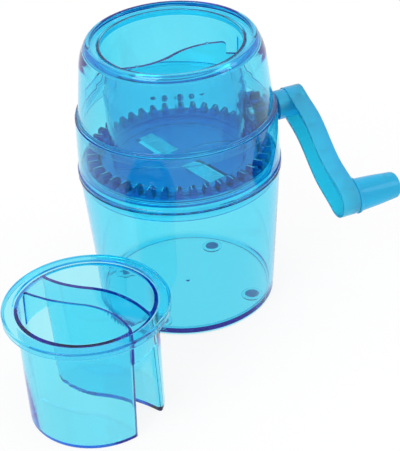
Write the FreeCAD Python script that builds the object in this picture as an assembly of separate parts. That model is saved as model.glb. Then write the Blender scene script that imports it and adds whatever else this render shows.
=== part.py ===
"""Ice shaver with a side crank, in millimetres, +Z up.

The origin is the centre of the flat ring that the bowl stands on. The crank shaft lies along +X.
The pusher stands on the same surface in front of the shaver, taken off to fill the ice chamber.
"""
import FreeCAD
import Part
import math
import os

V = FreeCAD.Vector
UP = V(0, 0, 1)
ALONG_CRANK = V(1, 0, 0)

# Bowl that catches the shaved ice
bowl_height = 99.8
bowl_base_radius = 58.9
bowl_rim_radius = 66.3
bowl_wall = 2.4
bowl_floor = 2.6
bowl_bead = 0.7
bowl_bead_height = 2.4
standing_ring_height = 1.0
standing_ring_width = 4.0
bowl_corner_inside = 3.0
bowl_corner_outside = 2.2
gate_nub_radius = 1.3

# Rubber feet, level with the standing ring
foot_radius = 4.6
foot_circle_radius = 46.8
foot_inset = 0.8
foot_socket_wall = 1.6
foot_socket_drop = 0.6
foot_count = 4
foot_first_angle = 45.0

# Drive housing, the ring that carries the crank and the cutter
housing_foot_radius = 67.0
housing_top_radius = 65.4
housing_wall = 2.2
housing_lip_height = 2.4
housing_lip_chamfer = 0.5
skirt_depth = 7.0
skirt_wall = 2.0
skirt_clearance = 0.45
shelf_rise = 5.2
shelf_thickness = 2.2
shelf_overlap = 5.6
centring_rib_height = 2.2
centring_rib_width = 1.4
centring_clearance = 0.4

# Crank shaft and its bearing in the housing wall
shaft_radius = 4.0
running_clearance = 0.06
end_float = 0.3
bush_wall = 1.6
bush_flange_radius = 7.4
bush_flange_thickness = 2.0
skirt_over_bush = 2.2
boss_wall = 3.0
boss_inside = 1.6
boss_outside = 3.4

# Crown gear on the cutter and the pinion that drives it
crown_teeth = 40
pinion_teeth = 8
crown_face_radius = 56.8
crown_face_width = 7.0
crown_rim_height = 2.26
tooth_backlash = 1.7
tooth_root_sink = 0.2
tooth_crest_share = 0.5
addendum_share = 0.92
dedendum_share = 1.12
tooth_taper = 0.30
pinion_face_width = 6.2
pinion_root_sink = 0.5
shelf_float = 0.2

# Cutter plate inside the crown, with its two blades
plate_drop = 1.6
plate_thickness = 2.4
dish_wall = 2.2
blade_length = 30.0
blade_width = 11.0
blade_thickness = 0.9
blade_inner_radius = 9.0
blade_angle = -75.6
blade_edge = 3.2
blade_bevel_share = 0.6
blade_land_share = 0.15
ice_slot_width = 6.4
blade_screw_radius = 1.5
blade_screw_head_radius = 2.9
blade_screw_head_height = 1.8
blade_screw_inset = 6.5
screw_slot_width = 0.8
screw_slot_depth = 0.7

# Hopper shell that sits in the housing
shell_rise = 51.4
shell_rim_radius = 53.4
shell_rim_width = 2.2
shell_rim_chamfer = 1.4
shell_rim_chamfer_drop = 1.2
shell_shoulder_radius = 58.9
shell_shoulder_drop = 9.5
shell_shoulder_corner = 4.0
shell_crown_thickness = 3.8
shell_inner_corner_drop = 2.0
shell_foot_radius = 63.2
shell_wall = 2.2
shell_skirt_depth = 7.0
shell_skirt_wall = 1.4
shell_bead_height = 2.2
shell_bead_width = 1.6
nest_clearance = 0.35
shell_ledge_drop = 3.1
shell_ledge_thickness = 2.0

# Ice chamber sleeve inside the shell
sleeve_lip_drop = 2.8
sleeve_top_radius = 47.2
sleeve_foot_radius = 44.0
sleeve_wall = 2.0
sleeve_flange_thickness = 2.0
sleeve_flange_width = 5.0
sleeve_fit = 0.3
plate_gap = 1.2
gusset_thickness = 2.0
gusset_drop = 14.0
gusset_slope = 16.0
gusset_clearance = 0.5
gusset_below_shoulder = 4.0

# S-shaped divider that holds the ice still
divider_bend_radius = 42.0
divider_thickness = 2.4
divider_angle = 27.3
divider_top_drop = 13.0
divider_step = 8.0
divider_step_radius = 35.0
divider_pip_radius = 0.9
divider_pip_reach = 26.1
divider_end_trim = 4.0

# Pusher with two pockets that go down beside the divider
pusher_height = 75.5
pusher_flange_radius = 51.0
pusher_flange_thickness = 2.4
pusher_rolled_edge = 3.8
pusher_wall = 1.8
pusher_collar_radius = 44.4
pusher_collar_depth = 12.0
pusher_foot_radius = 42.0
pusher_floor = 2.0
pusher_mouth_round = 1.5
pusher_edge_round = 1.0
channel_top_width = 14.6
channel_foot_width = 19.0
pusher_stand_x = -101.2
pusher_stand_y = -93.2
pusher_stand_turn = -35.7

# Crank arm, from the hub to the knob
arm_length = 81.0
arm_dip_angle = 27.2
arm_start_x = 78.0
arm_depth = 12.0
arm_wall = 2.0
arm_web = 3.4
arm_hub_radius = 9.8
arm_root_radius = 13.0
arm_tip_radius = 11.4
arm_sway = 2.4
arm_rib_count = 3
arm_rib_thickness = 1.6
arm_rib_setback = 1.0
arm_first_rib_share = 0.8
arm_sway_near = 0.30
arm_sway_far = 0.68
hub_screw_recess_radius = 4.6
hub_screw_recess_depth = 3.0
hub_screw_radius = 1.9
hub_screw_head_radius = 3.9
hub_screw_head_drop = 0.4
hub_screw_length = 13.0
shaft_end_setback = 6.0

# Knob that turns on the post of the arm
knob_length = 31.6
knob_base_radius = 11.0
knob_end_radius = 8.4
knob_flange_radius = 11.9
knob_flange_thickness = 2.0
knob_end_round = 2.4
post_radius = 4.0
knob_cap_thickness = 2.4
knob_screw_radius = 1.6
knob_screw_head_radius = 3.6
knob_screw_head_height = 1.8
knob_screw_length = 12.0
knob_washer_thickness = 0.8
knob_washer_radius = 5.2
knob_seat_clearance = 0.4
knob_cap_gap = 0.6
knob_cap_round = 0.6

# Pinion fixing
pinion_washer_thickness = 0.8
pinion_washer_radius = 5.8
pinion_screw_radius = 1.6
pinion_screw_head_radius = 3.4
pinion_screw_head_height = 2.0
pinion_screw_length = 11.0

# Sizes that follow from the ones above
housing_bottom = bowl_height
shelf_top = housing_bottom + shelf_rise
pinion_pitch_radius = crown_face_radius * pinion_teeth / crown_teeth
module = 2 * crown_face_radius / crown_teeth
tooth_pitch = math.pi * module
rim_bottom_z = shelf_top + shelf_float
crown_root_z = rim_bottom_z + crown_rim_height
pitch_plane = crown_root_z + dedendum_share * module
crown_tip_z = pitch_plane + addendum_share * module
crown_outer_radius = crown_face_radius + crown_face_width / 2
crown_inner_radius = crown_face_radius - crown_face_width / 2
crank_height = pitch_plane + pinion_pitch_radius
housing_top = crank_height + bush_flange_radius + skirt_over_bush + shell_skirt_depth
housing_height = housing_top - housing_bottom
shell_height = housing_top + shell_rise
shoulder_z = shell_height - shell_shoulder_drop
shell_bead_top = housing_top + shell_bead_height
plate_top_z = rim_bottom_z - plate_drop
plate_bottom_z = plate_top_z - plate_thickness
sleeve_top = shell_height - sleeve_lip_drop
sleeve_bottom = plate_top_z + plate_gap
divider_top = shell_height - divider_top_drop
arm_end_x = arm_start_x + arm_depth
knob_start_x = arm_end_x + end_float
knob_end_x = knob_start_x + knob_length


def turned(points, axis=UP):
    """A solid of revolution from (radius, height) points about an axis through the origin."""
    side = V(1, 0, 0) if axis == UP else V(0, 0, 1)
    corners = [side * r + axis * h for r, h in points]
    outline = Part.makePolygon(corners + [corners[0]])
    return Part.Face(outline).revolve(V(0, 0, 0), axis, 360)


def rod(radius, start, length, axis=UP):
    return Part.makeCylinder(radius, length, start, axis)


def tube(outer, inner, start, length, axis=UP):
    return rod(outer, start, length, axis).cut(rod(inner, start, length, axis))


def ring_edges(shape, radius, height):
    """Round edges of a given radius at a given height."""
    found = []
    for edge in shape.Edges:
        curve = edge.Curve
        if isinstance(curve, Part.Circle) and abs(curve.Radius - radius) < 1e-4:
            if abs(curve.Center.z - height) < 1e-4:
                found.append(edge)
    return found


def rounded(shape, radius, rings):
    """Round several ring edges, each named by its radius and height."""
    edges = [edge for ring in rings for edge in ring_edges(shape, *ring)]
    return shape.makeFillet(radius, edges)


def polar(radius, degrees):
    angle = math.radians(degrees)
    return V(radius * math.cos(angle), radius * math.sin(angle), 0)


def arc(centre, radius, start, end):
    """An arc about a centre, from one angle in degrees to another."""
    points = [centre + polar(radius, a) for a in (start, (start + end) / 2, end)]
    return Part.Arc(*points).toShape()


def straight(a, b):
    return Part.LineSegment(a, b).toShape()


def solid_between(lower, upper):
    """A straight-sided solid between two outlines with matching edges."""
    return Part.makeLoft([lower, upper], True, True)


def foot_places():
    step = 360.0 / foot_count
    return [polar(foot_circle_radius, foot_first_angle + i * step) for i in range(foot_count)]


def bowl_outer_radius(z):
    return bowl_base_radius + (bowl_rim_radius - bowl_base_radius) * z / bowl_height


def make_bowl():
    floor_bottom = standing_ring_height
    floor_top = floor_bottom + bowl_floor
    ring_inside = bowl_base_radius - standing_ring_width
    rim_inside = bowl_rim_radius - bowl_wall
    floor_inside = bowl_outer_radius(floor_top) - bowl_wall
    bead_bottom = bowl_height - bowl_bead_height
    body = turned([
        (0, floor_bottom), (ring_inside, floor_bottom), (ring_inside, 0), (bowl_base_radius, 0),
        (bowl_outer_radius(bead_bottom), bead_bottom), (bowl_rim_radius + bowl_bead, bead_bottom),
        (bowl_rim_radius + bowl_bead, bowl_height), (rim_inside, bowl_height),
        (floor_inside, floor_top), (0, floor_top),
    ])
    body = rounded(body, bowl_corner_inside, [(floor_inside, floor_top)])
    body = rounded(body, bowl_corner_outside, [(bowl_base_radius, 0)])
    for place in foot_places():
        socket_start = place + UP * (floor_bottom - foot_socket_drop)
        socket = rod(foot_radius + foot_socket_wall, socket_start, foot_socket_drop)
        recess = rod(foot_radius, place, floor_bottom + foot_inset)
        body = body.fuse(socket).cut(recess)
    nub = Part.makeSphere(gate_nub_radius, V(0, 0, floor_top))
    return body.fuse(nub).removeSplitter()


def make_feet():
    height = standing_ring_height + foot_inset
    return Part.makeCompound([rod(foot_radius, place, height) for place in foot_places()])


def housing_outer_radius(z):
    share = (z - housing_bottom) / housing_height
    return housing_foot_radius + (housing_top_radius - housing_foot_radius) * share


def make_housing():
    skirt_bottom = housing_bottom - skirt_depth
    skirt_radius = bowl_outer_radius(skirt_bottom) - bowl_wall - skirt_clearance
    skirt_inside = skirt_radius - skirt_wall
    wall_inside_top = housing_top_radius - housing_wall
    lip_top = housing_bottom + housing_lip_height
    shelf_bottom = shelf_top - shelf_thickness
    rib_inside = crown_outer_radius + centring_clearance
    rib_outside = rib_inside + centring_rib_width
    shelf_inside = crown_outer_radius - shelf_overlap
    wall_at_shelf = housing_outer_radius(shelf_top) - housing_wall
    body = turned([
        (skirt_inside, skirt_bottom), (skirt_radius, skirt_bottom), (skirt_radius, housing_bottom),
        (housing_foot_radius, housing_bottom), (housing_foot_radius, lip_top),
        (housing_outer_radius(lip_top) - housing_lip_chamfer, lip_top + housing_lip_chamfer),
        (housing_top_radius, housing_top), (wall_inside_top, housing_top),
        (wall_at_shelf, shelf_top), (rib_outside, shelf_top),
        (rib_outside, shelf_top + centring_rib_height), (rib_inside, shelf_top + centring_rib_height),
        (rib_inside, shelf_top), (shelf_inside, shelf_top), (shelf_inside, shelf_bottom),
        (skirt_inside, shelf_bottom),
    ])
    boss_start = housing_outer_radius(crank_height) - housing_wall - boss_inside
    boss_length = boss_inside + housing_wall + boss_outside
    start = V(boss_start, 0, crank_height)
    boss = rod(shaft_radius + bush_wall + boss_wall, start, boss_length, ALONG_CRANK)
    bore = rod(shaft_radius + bush_wall, start - ALONG_CRANK, boss_length + 2, ALONG_CRANK)
    return body.fuse(boss).cut(bore).removeSplitter(), boss_start, boss_start + boss_length


def make_bush(boss_start, boss_end):
    body = tube(shaft_radius + bush_wall, shaft_radius + running_clearance,
                V(boss_start, 0, crank_height), boss_end - boss_start, ALONG_CRANK)
    flange = tube(bush_flange_radius, shaft_radius + running_clearance,
                  V(boss_start - bush_flange_thickness, 0, crank_height),
                  bush_flange_thickness, ALONG_CRANK)
    return body.fuse(flange)


def tooth_widths():
    """Widths of a tooth at its tip, pitch line and root, with half the backlash taken off."""
    middle = (tooth_pitch - tooth_backlash) / 2
    return (middle - 2 * tooth_taper * addendum_share * module, middle,
            middle + 2 * tooth_taper * dedendum_share * module)


def crown_tooth(angle):
    """One tooth: a tapered block standing on the rim, with a rounded tip, in line with the radius."""
    tip, middle, root = tooth_widths()
    squeeze = crown_inner_radius / crown_face_radius
    spread = crown_outer_radius / crown_face_radius

    def section(x, share):
        crest = tooth_crest_share * tip * share
        root_z = crown_root_z - tooth_root_sink
        corners = [
            V(x, -root * share / 2, root_z), V(x, -tip * share / 2, crown_tip_z - crest),
            V(x, tip * share / 2, crown_tip_z - crest), V(x, root * share / 2, root_z),
        ]
        crown = Part.Arc(corners[1], V(x, 0, crown_tip_z), corners[2]).toShape()
        return Part.Wire([straight(corners[0], corners[1]), crown,
                          straight(corners[2], corners[3]), straight(corners[3], corners[0])])

    block = solid_between(section(crown_inner_radius, squeeze), section(crown_outer_radius, spread))
    block.rotate(V(0, 0, 0), UP, angle)
    return block


def blade_shape(angle, grow, bottom, height):
    """A flat strip along a radius, wider by grow on each side."""
    strip = Part.makeBox(blade_length + 2 * grow, blade_width + 2 * grow, height,
                         V(blade_inner_radius - grow, -blade_width / 2 - grow, bottom))
    strip.rotate(V(0, 0, 0), UP, angle)
    return strip


def blade_screw_places(angle):
    first = blade_inner_radius + blade_screw_inset
    last = blade_inner_radius + blade_length - blade_screw_inset
    offset = V(0, -blade_width / 4, 0)
    turn = FreeCAD.Rotation(UP, angle)
    return [turn.multVec(V(r, 0, 0) + offset) for r in (first, last)]


def make_crown_gear():
    dish_inside = crown_inner_radius - dish_wall
    body = turned([
        (0, plate_bottom_z), (dish_inside, plate_bottom_z),
        (crown_inner_radius, rim_bottom_z), (crown_outer_radius, rim_bottom_z),
        (crown_outer_radius, crown_root_z), (dish_inside, crown_root_z),
        (dish_inside, plate_top_z), (0, plate_top_z),
    ])
    step = 360.0 / crown_teeth
    teeth = [crown_tooth((i + 0.5) * step) for i in range(crown_teeth)]
    body = body.multiFuse(teeth)
    for angle in (blade_angle, blade_angle + 180):
        slot = Part.makeBox(blade_length, ice_slot_width, plate_thickness * 2,
                            V(blade_inner_radius, blade_width / 2 - blade_edge,
                              plate_bottom_z - plate_thickness / 2))
        slot.rotate(V(0, 0, 0), UP, angle)
        recess = blade_shape(angle, 0.0, plate_top_z - blade_thickness, blade_thickness)
        holes = [rod(blade_screw_radius, place + UP * plate_bottom_z, plate_thickness)
                 for place in blade_screw_places(angle)]
        body = body.cut(slot).cut(recess).cut(Part.makeCompound(holes))
    return body


def make_blade(angle):
    """A steel strip with its free edge ground to a bevel above the ice slot."""
    bottom = plate_top_z - blade_thickness
    blade = blade_shape(0, 0.0, bottom, blade_thickness)
    edge_y = blade_width / 2
    bevel_y = edge_y - blade_edge * blade_bevel_share
    land_z = bottom + blade_thickness * (1 - blade_land_share)
    bevel = Part.makePolygon([
        V(0, bevel_y, bottom), V(0, edge_y, land_z), V(0, edge_y, bottom), V(0, bevel_y, bottom),
    ])
    wedge = Part.Face(bevel).extrude(V(blade_inner_radius + blade_length, 0, 0))
    blade = blade.cut(wedge)
    blade.rotate(V(0, 0, 0), UP, angle)
    for place in blade_screw_places(angle):
        blade = blade.cut(rod(blade_screw_radius, place + UP * bottom, blade_thickness))
    return blade


def make_blade_screws():
    """Four screws put in from below, their ends level with the blades."""
    screws = []
    for angle in (blade_angle, blade_angle + 180):
        for place in blade_screw_places(angle):
            shank = rod(blade_screw_radius, place + UP * plate_bottom_z, plate_thickness)
            head_bottom = plate_bottom_z - blade_screw_head_height
            head = rod(blade_screw_head_radius, place + UP * head_bottom, blade_screw_head_height)
            slot_corner = V(-blade_screw_head_radius, -screw_slot_width / 2, head_bottom)
            slot = Part.makeBox(2 * blade_screw_head_radius, screw_slot_width, screw_slot_depth,
                                place + slot_corner)
            screws.append(shank.fuse(head).cut(slot))
    return Part.makeCompound(screws)


def make_hopper_shell():
    skirt_bottom = housing_top - shell_skirt_depth
    skirt_radius = housing_top_radius - housing_wall - nest_clearance
    skirt_inside = skirt_radius - shell_skirt_wall
    bead_radius = shell_foot_radius + shell_bead_width
    rim_inside = shell_rim_radius - shell_rim_width
    ledge_top = shell_height - shell_ledge_drop
    ledge_bottom = ledge_top - shell_ledge_thickness
    ledge_inside = sleeve_top_radius + sleeve_fit
    body = turned([
        (skirt_inside, skirt_bottom), (skirt_radius, skirt_bottom),
        (skirt_radius, housing_top), (bead_radius, housing_top), (bead_radius, shell_bead_top),
        (shell_foot_radius, shell_bead_top), (shell_shoulder_radius, shoulder_z),
        (shell_rim_radius + shell_rim_chamfer, shell_height - shell_rim_chamfer_drop),
        (shell_rim_radius, shell_height),
        (rim_inside, shell_height), (rim_inside, ledge_top), (ledge_inside, ledge_top),
        (ledge_inside, ledge_bottom), (shell_shoulder_radius - shell_crown_thickness, ledge_bottom),
        (shell_shoulder_radius - shell_wall, shoulder_z - shell_inner_corner_drop),
        (shell_foot_radius - shell_wall, shell_bead_top), (skirt_inside, housing_top),
    ])
    return rounded(body, shell_shoulder_corner, [(shell_shoulder_radius, shoulder_z)])


def sleeve_outer_radius(z):
    share = (z - sleeve_bottom) / (sleeve_top - sleeve_bottom)
    return sleeve_foot_radius + (sleeve_top_radius - sleeve_foot_radius) * share


def shell_inner_radius(z):
    share = (z - shell_bead_top) / (shoulder_z - shell_bead_top)
    return shell_foot_radius - shell_wall + (shell_shoulder_radius - shell_foot_radius) * share


def make_sleeve():
    flange_top = shell_height - shell_ledge_drop - shell_ledge_thickness
    flange_bottom = flange_top - sleeve_flange_thickness
    flange_radius = sleeve_top_radius + sleeve_flange_width
    body = turned([
        (sleeve_foot_radius - sleeve_wall, sleeve_bottom), (sleeve_foot_radius, sleeve_bottom),
        (sleeve_outer_radius(flange_bottom), flange_bottom), (flange_radius, flange_bottom),
        (flange_radius, flange_top), (sleeve_outer_radius(flange_top), flange_top),
        (sleeve_top_radius, sleeve_top), (sleeve_top_radius - sleeve_wall, sleeve_top),
    ])
    low_z = flange_bottom - gusset_drop - gusset_slope
    high_z = flange_bottom - gusset_drop
    corner_z = shoulder_z - gusset_below_shoulder
    outside_low = shell_inner_radius(low_z) - gusset_clearance
    outside_high = shell_inner_radius(corner_z) - gusset_clearance
    inside = sleeve_foot_radius - sleeve_wall / 2
    outline = Part.makePolygon([
        V(inside, 0, flange_bottom), V(flange_radius, 0, flange_bottom), V(outside_high, 0, corner_z),
        V(outside_low, 0, low_z), V(inside, 0, high_z), V(inside, 0, flange_bottom),
    ])
    gusset = Part.Face(outline).extrude(V(0, gusset_thickness, 0))
    gusset.translate(V(0, -gusset_thickness / 2, 0))
    hollow = turned([
        (0, sleeve_bottom), (sleeve_foot_radius - sleeve_wall, sleeve_bottom),
        (sleeve_top_radius - sleeve_wall, sleeve_top), (0, sleeve_top),
    ])
    other = gusset.copy()
    other.rotate(V(0, 0, 0), UP, 180)
    return body.fuse(gusset).fuse(other).cut(hollow).removeSplitter()


def bend_sweep(bend, reach):
    """Angle turned about a bend centre until the path meets a circle of the given reach."""
    whole = divider_bend_radius ** 2 + bend ** 2 - reach ** 2
    return math.degrees(math.acos(whole / (2 * divider_bend_radius * bend)))


def divider_half(angle, reach):
    """Half of the S, seen from above, from the centre out past a given reach."""
    centre = polar(divider_bend_radius, angle - 90)
    outer = divider_bend_radius + divider_thickness / 2
    inner = divider_bend_radius - divider_thickness / 2
    start = angle + 90
    end = start - bend_sweep(divider_bend_radius, reach) - divider_end_trim
    edges = [
        arc(centre, outer, start, end),
        straight(centre + polar(outer, end), centre + polar(inner, end)),
        arc(centre, inner, end, start),
        straight(centre + polar(inner, start), centre + polar(outer, start)),
    ]
    return Part.Face(Part.Wire(edges))


def divider_pip_places():
    """Two pips on the top edge, where the pusher's bridge comes to rest."""
    sweep = bend_sweep(divider_bend_radius, divider_pip_reach)
    places = []
    for angle in (divider_angle, divider_angle + 180):
        centre = polar(divider_bend_radius, angle - 90)
        places.append(centre + polar(divider_bend_radius, angle + 90 - sweep) + UP * divider_top)
    return places


def make_divider():
    bottom = sleeve_bottom
    halves = []
    for angle in (divider_angle, divider_angle + 180):
        plan = divider_half(angle, sleeve_top_radius)
        plan.translate(V(0, 0, bottom))
        halves.append(plan.extrude(V(0, 0, divider_top - bottom)))
    body = halves[0].fuse(halves[1])
    inside_low = sleeve_foot_radius - sleeve_wall
    inside_high = sleeve_top_radius - sleeve_wall
    limit = turned([(0, bottom), (inside_low, bottom), (inside_high, sleeve_top), (0, sleeve_top)])
    step_z = divider_top - divider_step
    notch = tube(2 * sleeve_top_radius, divider_step_radius, V(0, 0, step_z), 2 * divider_step)
    body = body.common(limit).cut(notch)
    for place in divider_pip_places():
        start = place + V(-divider_pip_radius, 0, 0)
        body = body.fuse(rod(divider_pip_radius, start, 2 * divider_pip_radius, V(1, 0, 0)))
    return body.removeSplitter()


def pocket_outline(reach, width, z):
    """Outline of one pocket: the S on one side and the round wall on the other."""
    upper_bend = divider_bend_radius + width / 2
    lower_bend = divider_bend_radius - width / 2
    right = polar(divider_bend_radius, -90) + UP * z
    left = polar(divider_bend_radius, 90) + UP * z
    right_end = 90 - bend_sweep(upper_bend, reach)
    left_end = -90 - bend_sweep(lower_bend, reach)
    first = left + polar(lower_bend, left_end)
    last = right + polar(upper_bend, right_end)
    first_angle = math.degrees(math.atan2(first.y, first.x))
    last_angle = math.degrees(math.atan2(last.y, last.x))
    if first_angle < last_angle:
        first_angle += 360
    around = arc(V(0, 0, z), reach, last_angle, first_angle)
    return Part.Wire([
        arc(left, lower_bend, left_end, -90), arc(right, upper_bend, 90, right_end), around,
    ])


def pocket(reach_low, reach_high, width_low, width_high, bottom, middle, top):
    """A pocket that widens upwards from its floor to the bridge, and is straight from there."""
    upper = pocket_outline(reach_high, width_high, middle)
    tapered = solid_between(pocket_outline(reach_low, width_low, bottom), upper)
    return tapered.fuse(Part.Face(upper).extrude(V(0, 0, top - middle)))


def make_pusher():
    flange_bottom = pusher_height - pusher_flange_thickness
    bridge_bottom = pusher_height - pusher_collar_depth
    bridge_top = bridge_bottom + pusher_wall
    collar_inside = pusher_collar_radius - pusher_wall
    edge_bottom = pusher_height - pusher_rolled_edge
    edge_inside = pusher_flange_radius - pusher_wall
    collar = turned([
        (0, bridge_bottom), (pusher_collar_radius, bridge_bottom), (pusher_collar_radius, flange_bottom),
        (edge_inside, flange_bottom), (edge_inside, edge_bottom), (pusher_flange_radius, edge_bottom),
        (pusher_flange_radius, pusher_height), (collar_inside, pusher_height),
        (collar_inside, bridge_top), (0, bridge_top),
    ])
    collar = rounded(collar, pusher_mouth_round, [(collar_inside, pusher_height)])
    body = rounded(collar, pusher_edge_round, [(pusher_flange_radius, pusher_height)])
    cavities = []
    for turn in (0, 180):
        outside = pocket(pusher_foot_radius, pusher_collar_radius, channel_foot_width,
                         channel_top_width, 0, bridge_bottom, bridge_top)
        inside = pocket(pusher_foot_radius - pusher_wall, collar_inside,
                        channel_foot_width + 2 * pusher_wall, channel_top_width + 2 * pusher_wall,
                        pusher_floor, bridge_bottom, bridge_top)
        outside.rotate(V(0, 0, 0), UP, turn)
        inside.rotate(V(0, 0, 0), UP, turn)
        body = body.fuse(outside)
        cavities.append(inside)
    for cavity in cavities:
        body = body.cut(cavity)
    body = body.removeSplitter()
    body.rotate(V(0, 0, 0), UP, pusher_stand_turn)
    body.translate(V(pusher_stand_x, pusher_stand_y, 0))
    return body


def arm_outline(inset, x):
    """The arm seen along the shaft: two round ends joined by two gently swayed edges."""
    root = arm_root_radius - inset
    tip = arm_tip_radius - inset
    sway = arm_sway

    def at(along, across):
        return V(x, -along, across)

    def edge(side):
        first = at(0, side * root)
        quarter = at(arm_length * arm_sway_near, side * (root + tip) / 2 + sway)
        third = at(arm_length * arm_sway_far, side * (root + tip) / 2 - sway)
        last = at(arm_length, side * tip)
        curve = Part.BSplineCurve()
        curve.interpolate(Points=[first, quarter, third, last],
                          InitialTangent=V(0, -1, 0), FinalTangent=V(0, -1, 0))
        return curve.toShape()

    far = Part.Arc(at(arm_length, tip), at(arm_length + tip, 0), at(arm_length, -tip)).toShape()
    near = Part.Arc(at(0, -root), at(-root, 0), at(0, root)).toShape()
    return Part.Face(Part.Wire([edge(1), far, edge(-1), near]))


def make_crank_arm(hub_start):
    """A channel open towards the shaver, with a hub at one end and the knob's post at the other."""
    body = arm_outline(0, arm_start_x).extrude(V(arm_depth, 0, 0))
    channel_depth = arm_depth - arm_web
    channel = arm_outline(arm_wall, arm_start_x).extrude(V(channel_depth, 0, 0))
    floor_x = arm_start_x + channel_depth
    ribs = []
    rib_x = arm_start_x + arm_rib_setback
    rib_step = (arm_length - 2 * arm_root_radius) / arm_rib_count
    for i in range(arm_rib_count):
        along = arm_root_radius + (i + arm_first_rib_share) * rib_step
        block = Part.makePolygon([
            V(rib_x, -along, arm_root_radius), V(floor_x, -along, 0),
            V(floor_x, -along, arm_root_radius), V(rib_x, -along, arm_root_radius),
        ])
        ribs.append(Part.Face(block).extrude(V(0, -arm_rib_thickness, 0)))
    channel = channel.cut(Part.makeCompound(ribs))
    hub = rod(arm_hub_radius, V(hub_start, 0, 0), arm_end_x - hub_start, ALONG_CRANK)
    post_end = knob_end_x - (knob_cap_thickness + knob_cap_gap + knob_screw_head_height
                             + knob_washer_thickness)
    post = rod(post_radius, V(arm_end_x, -arm_length, 0), post_end - arm_end_x, ALONG_CRANK)
    pilot = rod(knob_screw_radius, V(post_end - knob_screw_length, -arm_length, 0),
                knob_screw_length, ALONG_CRANK)
    shaft_end = arm_end_x - shaft_end_setback
    bore = rod(shaft_radius, V(hub_start - 1, 0, 0), shaft_end - hub_start + 1, ALONG_CRANK)
    screw_hole = rod(hub_screw_radius, V(shaft_end, 0, 0), shaft_end_setback, ALONG_CRANK)
    recess = rod(hub_screw_recess_radius, V(arm_end_x - hub_screw_recess_depth, 0, 0),
                 hub_screw_recess_depth, ALONG_CRANK)
    body = body.cut(channel).fuse(hub).fuse(post).cut(pilot).cut(bore).cut(screw_hole).cut(recess)
    return seat_on_crank(body.removeSplitter()), post_end


def seat_on_crank(shape):
    """Dip a piece drawn level with the shaft to the arm's angle, and lift it to the shaft."""
    shape.rotate(V(0, 0, 0), ALONG_CRANK, arm_dip_angle)
    shape.translate(V(0, 0, crank_height))
    return shape


def make_shaft(pinion_start):
    shaft_end = arm_end_x - shaft_end_setback
    shaft = rod(shaft_radius, V(pinion_start, 0, crank_height), shaft_end - pinion_start, ALONG_CRANK)
    inner = rod(pinion_screw_radius, V(pinion_start, 0, crank_height), pinion_screw_length, ALONG_CRANK)
    depth = hub_screw_length - (shaft_end_setback - hub_screw_recess_depth)
    outer = rod(hub_screw_radius, V(shaft_end - depth, 0, crank_height), depth, ALONG_CRANK)
    return shaft.cut(inner).cut(outer)


def make_pinion(start, end):
    """A small gear whose teeth stand in the gaps of the crown."""
    tip_width, middle, root_width = tooth_widths()
    tip_radius = pinion_pitch_radius + addendum_share * module
    root_radius = pinion_pitch_radius - dedendum_share * module
    gear = rod(root_radius, V(start, 0, crank_height), end - start, ALONG_CRANK)
    sunk_radius = root_radius - pinion_root_sink
    for i in range(pinion_teeth):
        corners = [
            V(start, -root_width / 2, -sunk_radius), V(start, -middle / 2, -pinion_pitch_radius),
            V(start, -tip_width / 2, -tip_radius), V(start, tip_width / 2, -tip_radius),
            V(start, middle / 2, -pinion_pitch_radius), V(start, root_width / 2, -sunk_radius),
        ]
        tooth = Part.Face(Part.makePolygon(corners + [corners[0]])).extrude(V(end - start, 0, 0))
        tooth.rotate(V(0, 0, 0), ALONG_CRANK, i * 360.0 / pinion_teeth)
        tooth.translate(V(0, 0, crank_height))
        gear = gear.fuse(tooth)
    bore = rod(shaft_radius, V(start - 1, 0, crank_height), end - start + 2, ALONG_CRANK)
    return gear.cut(bore).removeSplitter()


def slotted_screw(head_x, direction, height, y, radius, length, head_radius, head_height):
    """A screw along the crank axis whose head starts at head_x and points the other way."""
    axis = V(direction, 0, 0)
    start = V(head_x, y, height)
    screw = rod(radius, start, length, axis).fuse(rod(head_radius, start - axis * head_height,
                                                      head_height, axis))
    slot = Part.makeBox(2 * screw_slot_depth, screw_slot_width, 2 * head_radius,
                        V(-screw_slot_depth, -screw_slot_width / 2, -head_radius))
    slot.translate(start - axis * head_height)
    return screw.cut(slot)


def make_knob(post_end):
    start = knob_start_x
    body = turned([
        (0, start), (knob_flange_radius, start), (knob_flange_radius, start + knob_flange_thickness),
        (knob_base_radius, start + knob_flange_thickness), (knob_end_radius, knob_end_x),
        (0, knob_end_x),
    ], ALONG_CRANK)
    end_edges = [e for e in body.Edges if isinstance(e.Curve, Part.Circle)
                 and abs(e.Curve.Center.x - knob_end_x) < 1e-4]
    body = body.makeFillet(knob_end_round, end_edges)
    bore = rod(post_radius + running_clearance, V(start - 1, 0, 0), knob_length + 2, ALONG_CRANK)
    seat_x = post_end - knob_seat_clearance
    seat = rod(knob_washer_radius + knob_seat_clearance, V(seat_x, 0, 0), knob_length, ALONG_CRANK)
    body = body.cut(bore).cut(seat)
    body.translate(V(0, -arm_length, 0))
    return seat_on_crank(body)


def make_knob_cap():
    thickness = knob_cap_thickness
    start = V(knob_end_x - thickness, -arm_length, 0)
    cap = rod(knob_washer_radius + knob_seat_clearance, start, thickness, ALONG_CRANK)
    edges = [e for e in cap.Edges if isinstance(e.Curve, Part.Circle)
             and abs(e.Curve.Center.x - knob_end_x) < 1e-4]
    return seat_on_crank(cap.makeFillet(knob_cap_round, edges))


def make_knob_washer(post_end):
    return seat_on_crank(tube(knob_washer_radius, knob_screw_radius,
                              V(post_end, -arm_length, 0), knob_washer_thickness, ALONG_CRANK))


def save(name, shape):
    if not shape.isValid():
        print("not valid:", name)
    print(name, "solids", len(shape.Solids), "volume", round(shape.Volume, 1))
    shape.exportStep("parts/" + name + ".step")


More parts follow.
